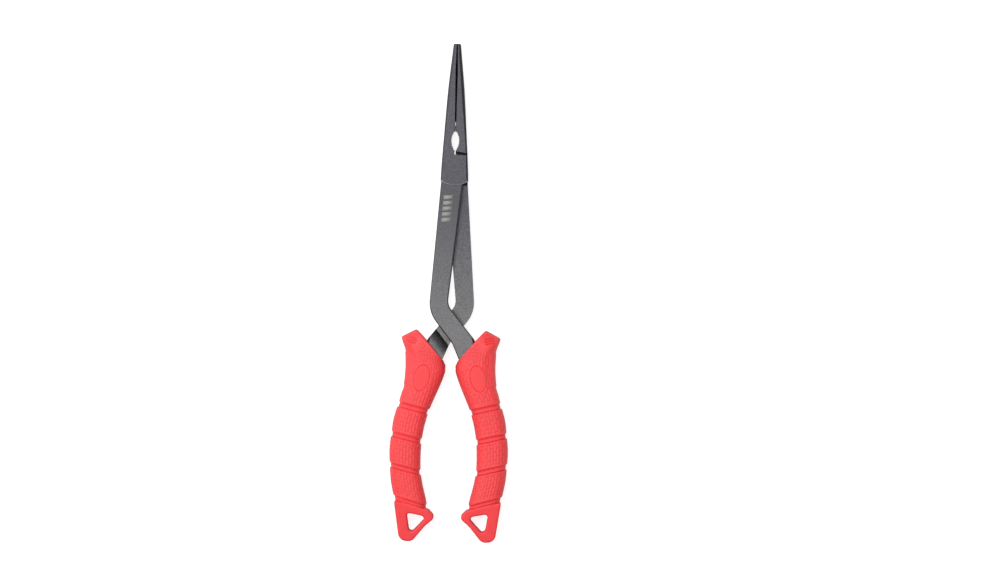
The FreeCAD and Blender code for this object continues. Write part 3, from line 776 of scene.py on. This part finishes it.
class PLIERS_OT_mould_ovals(bpy.types.Operator):
    """Moulds the smooth oval panels on both faces of each grip's head"""

    bl_idname = "pliers.mould_ovals"
    bl_label = "Mould the Ovals"

    def execute(self, context):
        settings = context.scene.pliers_grip
        material = shared("moulded_nylon", moulded_nylon, settings)
        grip = Grip(settings.mesh_step)
        centre = from_pivot(OVAL_CENTRE)
        turn = np.linspace(0, 2 * math.pi, OVAL_POINTS, endpoint=False)
        half_width, half_length = (size * MM for size in OVAL_HALF_SIZE)
        # each ring's inset and drop: the hidden wall, the rolled rim, then the face
        roll = np.linspace(0, math.pi / 2, OVAL_ROLL_ROWS)
        insets = np.concatenate([[0.0], OVAL_RIM * (1 - np.cos(roll)), OVAL_INSETS])
        drops = np.concatenate([[OVAL_WALL], OVAL_RIM * (1 - np.sin(roll)), np.zeros(len(OVAL_INSETS))])
        for side in SIDES:
            for face, up in (("top", 1), ("bottom", -1)):
                rings = []
                for inset, drop in zip(insets, drops):
                    x, y = (half_width - inset) * np.cos(turn), (half_length - inset) * np.sin(turn)
                    plan = np.stack([x * math.cos(OVAL_TILT) - y * math.sin(OVAL_TILT),
                                     x * math.sin(OVAL_TILT) + y * math.cos(OVAL_TILT)], axis=1) + centre
                    height = PIVOT.z + up * (grip.height_over(plan) + OVAL_PROUD - drop)
                    rings.append(np.column_stack([plan, height]))
                rings = turned(np.array(rings), side)
                piece = shell(f"{side}_oval_{face}", rings, cap_start=True, cap_end=True)
                finish_piece(piece, side, "hard_nylon", material)
        return {"FINISHED"}


class PLIERS_OT_mould_eyes(bpy.types.Operator):
    """Moulds the lanyard eye at the end of each core, with its edges rolled and its root blended"""

    bl_idname = "pliers.mould_eyes"
    bl_label = "Mould the Lanyard Eyes"

    def execute(self, context):
        settings = context.scene.pliers_grip
        material = shared("moulded_nylon", moulded_nylon, settings)
        for side in SIDES:
            mesh = self.cut_eye(side)
            piece = bpy.data.objects.new(f"{side}_lanyard_eye", mesh)
            context.scene.collection.objects.link(piece)
            remesh = piece.modifiers.new("Even surface", "REMESH")
            remesh.mode = "VOXEL"
            remesh.voxel_size = settings.mesh_step
            remesh.use_smooth_shade = True
            smooth = piece.modifiers.new("Rolled edges", "SMOOTH")
            smooth.factor = EYE_SMOOTHING
            smooth.iterations = EYE_SMOOTH_PASSES
            evaluated = piece.evaluated_get(context.evaluated_depsgraph_get())
            finished = bpy.data.meshes.new_from_object(evaluated)
            piece.modifiers.clear()
            piece.data = finished
            finish_piece(piece, side, "hard_nylon", material)
        return {"FINISHED"}

    @staticmethod
    def cut_eye(side):
        """The end of one packed core behind the eye's line, with the cut closed."""
        inner, outer = (Vector((x * MM, y * MM, 0)) for x, y in EYE_LINE)
        mirror = 1 if side == "front" else -1
        line = Vector(((outer - inner).x * mirror, (outer - inner).y, 0)).normalized()
        cut_point = Vector((inner.x * mirror, inner.y - EYE_ROOT_LAP, 0)) + PIVOT
        keep_side = Vector((line.y, -line.x, 0)) * mirror
        work = bmesh.new()
        work.from_mesh(frame["nodes"][f"{side}_handle_core"].data)
        bmesh.ops.remove_doubles(work, verts=work.verts, dist=EYE_WELD)
        parts = work.verts[:] + work.edges[:] + work.faces[:]
        bmesh.ops.bisect_plane(work, geom=parts, plane_co=cut_point, plane_no=keep_side, clear_inner=True)
        bmesh.ops.holes_fill(work, edges=[e for e in work.edges if e.is_boundary])
        mesh = bpy.data.meshes.new(f"{side}_lanyard_eye")
        work.to_mesh(mesh)
        work.free()
        return mesh


class PLIERS_OT_mould_head_pads(bpy.types.Operator):
    """Moulds the flared soft pad at the front of each grip, with its saddle, its ear and its cells"""

    bl_idname = "pliers.mould_head_pads"
    bl_label = "Mould the Head Pads"

    def execute(self, context):
        settings = context.scene.pliers_grip
        material = shared("moulded_thermoplastic_rubber", moulded_rubber, settings)
        grip = Grip(settings.mesh_step)
        end = grip.marks[len(HEAD_LINES) - 1] + PAD_TRAIL
        rear_rim = (settings.rear_rim, settings.rear_drop)
        s, roll = pad_rows(0.0, end, (HEAD_RIM, HEAD_RIM), rear_rim, settings.mesh_step)
        rings, normals = grip.rings(s), grip.normals(s)
        across, on_side = grip.section
        depth = np.broadcast_to(roll[:, None], rings.shape[:2]).copy()

        saddle_from = grip.marks[EAR_END] - SADDLE_LEAD
        saddle_to = grip.marks[SADDLE_END] + SADDLE_TRAIL
        inner, outer = grip.edge_points(s)
        half_width = np.linalg.norm(outer - inner, axis=1) / 2
        from_edge = (1 - across[None, :]) * half_width[:, None]
        side_part = 1 - smoothstep(*SADDLE_WIDTH, from_edge)
        rows_part = smoothstep(0, SADDLE_STEP, s - saddle_from)
        rows_part = rows_part * (1 - smoothstep(-SADDLE_STEP, 0, s - saddle_to))
        saddle = side_part * rows_part[:, None]
        near = smoothstep(*DROP_AHEAD, s - saddle_from) * (1 - smoothstep(*DROP_BEHIND, s - saddle_to))
        lowered = near[:, None] * (1 - smoothstep(*DROP_WIDTH, from_edge))
        depth -= SADDLE_DROP * lowered * (1 - saddle)

        # recesses for the oval panels, and the pressed bars, on both faces
        on_face = smoothstep(*FACE_FADE, np.abs(on_side))[None, :]
        off_oval = oval_distance(rings)
        depth -= OVAL_RECESS * (1 - smoothstep(*OVAL_RECESS_WALL, off_oval)) * on_face
        bars = bar_depths(rings) * on_face
        depth -= EAR_BAR_DEPTH * bars

        lengths = grip.across_lengths(s)
        short = cell_depths(lengths, s[:, None], settings.cell_width, settings.cell_length / 2)
        long = cell_depths(lengths, s[:, None], settings.cell_width, settings.cell_length)
        cells = np.where(s[:, None] < SHORT_CELL_ROWS * settings.cell_length, short, long)
        clear = smoothstep(*HEAD_CELLS_OFF_RIM, np.minimum(s, end - s))[:, None]
        clear = clear * smoothstep(*HEAD_CELLS_OFF_OVAL, off_oval) * (1 - side_part * near[:, None])
        clear = clear * smoothstep(*HEAD_CELLS_OFF_EAR, self.from_ear(rings))
        depth -= settings.cell_height * cells * clear
        hollows = np.maximum(cells * clear, EAR_BAR_SHADE * bars)
        surface = rings + normals * depth[..., None]

        # the front face, from the middle out to the rim, and the inside of the cup
        first = surface[0]
        centre = first.mean(axis=0)
        face = np.array([centre + (first - centre) * share for share in FRONT_FACE_SHARES])
        inside_s = np.linspace(end, CUP_FLOOR, CUP_ROWS)
        inside = grip.rings(inside_s) - grip.normals(inside_s) * settings.pad_thickness
        hollows = np.concatenate([np.zeros(face.shape[:2]), hollows, np.zeros(inside.shape[:2])])
        stack = np.concatenate([face, surface, inside])
        for side in SIDES:
            piece = shell(f"{side}_grip_head", turned(stack, side), cap_start=True, cap_end=True,
                          hollows=hollows)
            finish_piece(piece, side, "soft_grip", material, f"{side}_head_pad")
        return {"FINISHED"}

    @staticmethod
    def from_ear(rings):
        """How far points lie from the tip of the flared ear, in plan."""
        tip = from_pivot(HEAD_LINES[EAR_TIP][1])
        return np.hypot(rings[..., 0] - tip[0], rings[..., 1] - tip[1])


class PLIERS_OT_mould_finger_pads(bpy.types.Operator):
    """Moulds the three soft pads below the head of each grip, with rolled rims and raised cells"""

    bl_idname = "pliers.mould_finger_pads"
    bl_label = "Mould the Finger Pads"

    def execute(self, context):
        settings = context.scene.pliers_grip
        material = shared("moulded_thermoplastic_rubber", moulded_rubber, settings)
        grip = Grip(settings.mesh_step)
        front_rim = (settings.front_rim, settings.front_rim)
        rear_rim = (settings.rear_rim, settings.rear_drop)
        for i, name in enumerate(FINGER_LINES):
            first = len(HEAD_LINES) + LINES_PER_PAD * i
            start = grip.marks[first] - PAD_LEAD
            end = grip.marks[first + LINES_PER_PAD - 1] + PAD_TRAIL
            s, roll = pad_rows(start, end, front_rim, rear_rim, settings.mesh_step)
            cells = cell_depths(grip.across_lengths(s), s[:, None], settings.cell_width, settings.cell_length)
            off_rims = np.minimum(s - start, end - s - FINGER_CELLS_REAR_CLEAR)
            hollows = cells * smoothstep(*FINGER_CELLS_OFF_RIM, off_rims)[:, None]
            depth = roll[:, None] - settings.cell_height * hollows
            surface = grip.rings(s) + grip.normals(s) * depth[..., None]
            inside_s = np.linspace(end, start, PAD_INNER_ROWS)
            inside = grip.rings(inside_s) - grip.normals(inside_s) * settings.pad_thickness
            hollows = np.concatenate([hollows, np.zeros(inside.shape[:2])])
            for side in SIDES:
                rings = turned(np.concatenate([surface, inside]), side)
                piece = shell(f"{side}_grip_{name}", rings, closed=True, hollows=hollows)
                finish_piece(piece, side, "soft_grip", material, f"{side}_{name}_pad")
        return {"FINISHED"}


class PLIERS_OT_build_stage(bpy.types.Operator):
    """Sets the plain pale floor, the soft studio light and the camera that looks straight down"""

    bl_idname = "pliers.build_stage"
    bl_label = "Build the Stage"

    def execute(self, context):
        settings = context.scene.pliers_stage
        scene = context.scene
        scene.view_settings.view_transform = "Standard"
        mesh = bpy.data.meshes.new("floor")
        corners = [(x * FLOOR_REACH, y * FLOOR_REACH, -FLOOR_DROP)
                   for x, y in ((-1, -1), (1, -1), (1, 1), (-1, 1))]
        mesh.from_pydata(corners, [], [(0, 1, 2, 3)])
        floor = bpy.data.objects.new("floor", mesh)
        mesh.materials.append(shared("rolled_white_paint", painted_floor, settings))
        scene.collection.objects.link(floor)

        world = bpy.data.worlds.new("white_surround")
        world.use_nodes = True
        backdrop = world.node_tree.nodes["Background"]
        backdrop.inputs["Color"].default_value = (1.0, 1.0, 1.0, 1.0)
        backdrop.inputs["Strength"].default_value = settings.sky_strength
        scene.world = world

        for name, (power, size, place) in LIGHTS.items():
            self.add_panel_light(name, getattr(settings, power), size, Vector(place))

        data = bpy.data.cameras.new("camera")
        data.sensor_width = SENSOR_WIDTH
        data.lens = data.sensor_width * settings.camera_height / settings.view_width
        camera = bpy.data.objects.new("camera", data)
        camera.location = (settings.aim_x, settings.aim_y, PIVOT.z + settings.camera_height)
        camera.rotation_euler = (0.0, 0.0, settings.roll)
        scene.collection.objects.link(camera)
        scene.camera = camera
        return {"FINISHED"}

    @staticmethod
    def add_panel_light(name, power, size, place):
        """A square soft light at a place, turned to face the middle of the pliers."""
        data = bpy.data.lights.new(name, "AREA")
        data.energy = power
        data.size = size
        light = bpy.data.objects.new(name, data)
        light.location = place
        light.visible_camera = False
        light.rotation_euler = (-place).to_track_quat("-Z", "Y").to_euler()
        bpy.context.scene.collection.objects.link(light)


class PLIERS_PT_panel(bpy.types.Panel):
    """Lists the pieces in the order that they are made"""

    bl_label = "Fishing Pliers"
    bl_idname = "PLIERS_PT_panel"
    bl_space_type = "VIEW_3D"
    bl_region_type = "UI"
    bl_category = "Pliers"

    def draw(self, context):
        for group in GROUPS:
            settings = getattr(context.scene, group)
            box = self.layout.box()
            for name in settings.__annotations__:
                box.prop(settings, name)
        for operator in OPERATORS:
            self.layout.operator(operator.bl_idname)


OPERATORS = (
    PLIERS_OT_coat_steel,
    PLIERS_OT_etch_mark,
    PLIERS_OT_mould_collars,
    PLIERS_OT_mould_ovals,
    PLIERS_OT_mould_eyes,
    PLIERS_OT_mould_head_pads,
    PLIERS_OT_mould_finger_pads,
    PLIERS_OT_build_stage,
)
GROUPS = {"pliers_grip": GripSettings, "pliers_steel": SteelSettings, "pliers_stage": StageSettings}


def register():
    for name, group in GROUPS.items():
        bpy.utils.register_class(group)
        setattr(bpy.types.Scene, name, PointerProperty(type=group))
    for operator in OPERATORS:
        bpy.utils.register_class(operator)
    bpy.utils.register_class(PLIERS_PT_panel)


def unregister():
    bpy.utils.unregister_class(PLIERS_PT_panel)
    for operator in reversed(OPERATORS):
        bpy.utils.unregister_class(operator)
    for name, group in GROUPS.items():
        delattr(bpy.types.Scene, name)
        bpy.utils.unregister_class(group)


def main():
    register()
    bpy.ops.pliers.coat_steel()
    bpy.ops.pliers.etch_mark()
    bpy.ops.pliers.mould_collars()
    bpy.ops.pliers.mould_ovals()
    bpy.ops.pliers.mould_eyes()
    bpy.ops.pliers.mould_head_pads()
    bpy.ops.pliers.mould_finger_pads()
    bpy.ops.pliers.build_stage()


if __name__ == "__main__":
    main()
